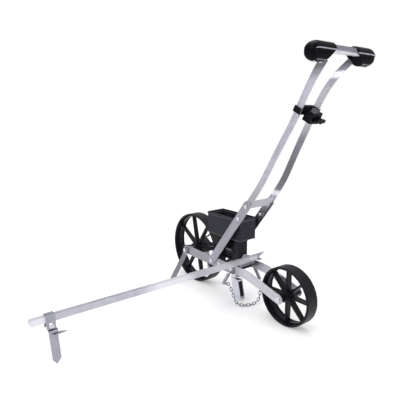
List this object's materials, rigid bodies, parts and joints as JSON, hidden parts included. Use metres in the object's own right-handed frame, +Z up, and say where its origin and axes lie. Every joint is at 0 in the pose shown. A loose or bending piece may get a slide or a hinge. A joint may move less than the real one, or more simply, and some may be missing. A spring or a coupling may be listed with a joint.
{
  "type": "garden row seeder",
  "caption": "Walk-behind garden row seeder: spoked wheels, belt-driven seed plate in a hopper, furrow opener, covering chain, kickstand, and a side arm that marks the next row.",
  "frame": {"origin": "on the ground straight below the front axle, in the machine's middle plane", "axes": "+X to the rear, towards the operator; +Y to the operator's right; +Z up"},
  "size_m": [0.8654, 0.966, 0.923],
  "materials": {
    "aluminium_strap": "rolled flat bar, satin",
    "zinc_sheet": "zinc-plated folded sheet, satin",
    "zinc_hardware": "bright zinc plating",
    "hopper_plastic": "moulded, fine texture",
    "grip_plastic": "moulded, semi-gloss",
    "wheel_plastic": "moulded, slight sheen",
    "nylon": "moulded nylon",
    "belt_rubber": "smooth black rubber"
  },
  "bodies": {
    "frame": {"left_frame_rail": "aluminium_strap", "right_frame_rail": "aluminium_strap", "left_rear_arm": "aluminium_strap", "right_rear_arm": "aluminium_strap", "left_lower_handle": "aluminium_strap", "right_lower_handle": "aluminium_strap", "left_upper_handle": "aluminium_strap", "right_upper_handle": "aluminium_strap", "handle_brace": "aluminium_strap", "handle_crossbar": "aluminium_strap", "left_grip_upper": "grip_plastic", "left_grip_lower": "grip_plastic", "right_grip_upper": "grip_plastic", "right_grip_lower": "grip_plastic", "grip_screws": "zinc_hardware", "frame_spacer_tubes": "zinc_hardware", "frame_bolts": "zinc_hardware", "arm_bolts": "zinc_hardware", "handle_bolts": "zinc_hardware", "frame_nuts": "zinc_hardware", "hopper": "hopper_plastic", "hopper_base": "hopper_plastic", "hopper_screws": "zinc_hardware", "seed_chute": "hopper_plastic", "shaft_bushes": "nylon", "drive_belt": "belt_rubber", "front_axle_bolt": "zinc_hardware", "front_axle_nut": "zinc_hardware", "front_axle_spacers": "zinc_hardware", "kickstand_washers": "zinc_hardware", "rear_axle_bolt": "zinc_hardware", "rear_axle_nut": "zinc_hardware", "rear_axle_spacers": "nylon", "opener_guide": "zinc_sheet", "opener_bolt": "zinc_hardware", "chain_bolts": "zinc_hardware", "marker_bracket": "zinc_sheet", "marker_pivot_bolt": "zinc_hardware", "plate_rack": "hopper_plastic", "plate_rack_spindle": "zinc_hardware"},
    "front_wheel": {"front_wheel": "wheel_plastic", "drive_pulley": "nylon"},
    "rear_wheel": {"rear_wheel": "wheel_plastic"},
    "seed_drive": {"seed_plate": "nylon", "seed_plate_shaft": "zinc_hardware", "driven_pulley": "nylon"},
    "kickstand": {"kickstand": "zinc_sheet"},
    "opener": {"opener": "zinc_sheet", "seed_spout": "hopper_plastic"},
    "opener_wing_nut": {"opener_wing_nut": "zinc_hardware"},
    "drag_chain": {"drag_chain": "zinc_hardware", "chain_ring": "zinc_hardware", "chain_springs": "zinc_hardware"},
    "marker_arm": {"marker_arm": "aluminium_strap"},
    "marker_clamp": {"marker_clamp": "zinc_sheet", "marker_blade": "zinc_sheet", "marker_bolt": "zinc_hardware"},
    "marker_wing_nut": {"marker_wing_nut": "zinc_hardware"},
    "rack_knob": {"plate_rack_knob": "hopper_plastic"}
  },
  "joints": [
    {"name": "front_wheel_spin", "type": "hinge", "parent": "frame", "child": "front_wheel", "pos_m": [0, 0, 0.1524], "axis": [0, 1, 0], "continuous": true},
    {"name": "seed_plate_spin", "type": "hinge", "parent": "frame", "child": "seed_drive", "pos_m": [0.205, 0, 0.272], "axis": [0, 1, 0], "continuous": true},
    {"name": "rear_wheel_spin", "type": "hinge", "parent": "frame", "child": "rear_wheel", "pos_m": [0.53, 0, 0.1065], "axis": [0, 1, 0], "continuous": true},
    {"name": "kickstand_fold", "type": "hinge", "parent": "frame", "child": "kickstand", "pos_m": [0, 0, 0.1524], "axis": [0, 1, 0], "range_deg": [0, 110]},
    {"name": "opener_depth", "type": "slide", "parent": "frame", "child": "opener", "axis": [0, 0, 1], "range_m": [-0.03, 0.01]},
    {"name": "opener_nut_turn", "type": "hinge", "parent": "frame", "child": "opener_wing_nut", "pos_m": [0.2485, 0.01, 0.145], "axis": [0, 1, 0], "continuous": true},
    {"name": "chain_swing", "type": "hinge", "parent": "frame", "child": "drag_chain", "pos_m": [0.291, 0, 0.134], "axis": [0, -1, 0], "range_deg": [0, 25]},
    {"name": "marker_lift", "type": "hinge", "parent": "frame", "child": "marker_arm", "pos_m": [0.332, 0, 0.186], "axis": [-1, 0, 0], "range_deg": [0, 60]},
    {"name": "marker_slide", "type": "slide", "parent": "marker_arm", "child": "marker_clamp", "axis": [0, 1, 0], "range_m": [-0.035, 0.4]},
    {"name": "marker_nut_turn", "type": "hinge", "parent": "marker_clamp", "child": "marker_wing_nut", "pos_m": [0.315, -0.762, 0.168], "axis": [1, 0, 0], "continuous": true},
    {"name": "rack_knob_turn", "type": "hinge", "parent": "frame", "child": "rack_knob", "pos_m": [0.61668, 0.013, 0.71064], "axis": [-0.8829, 0, 0.4695], "continuous": true}
  ],
  "couplings": [
    {"joint": "seed_plate_spin", "follows": "front_wheel_spin", "ratio": 0.83333}
  ]
}
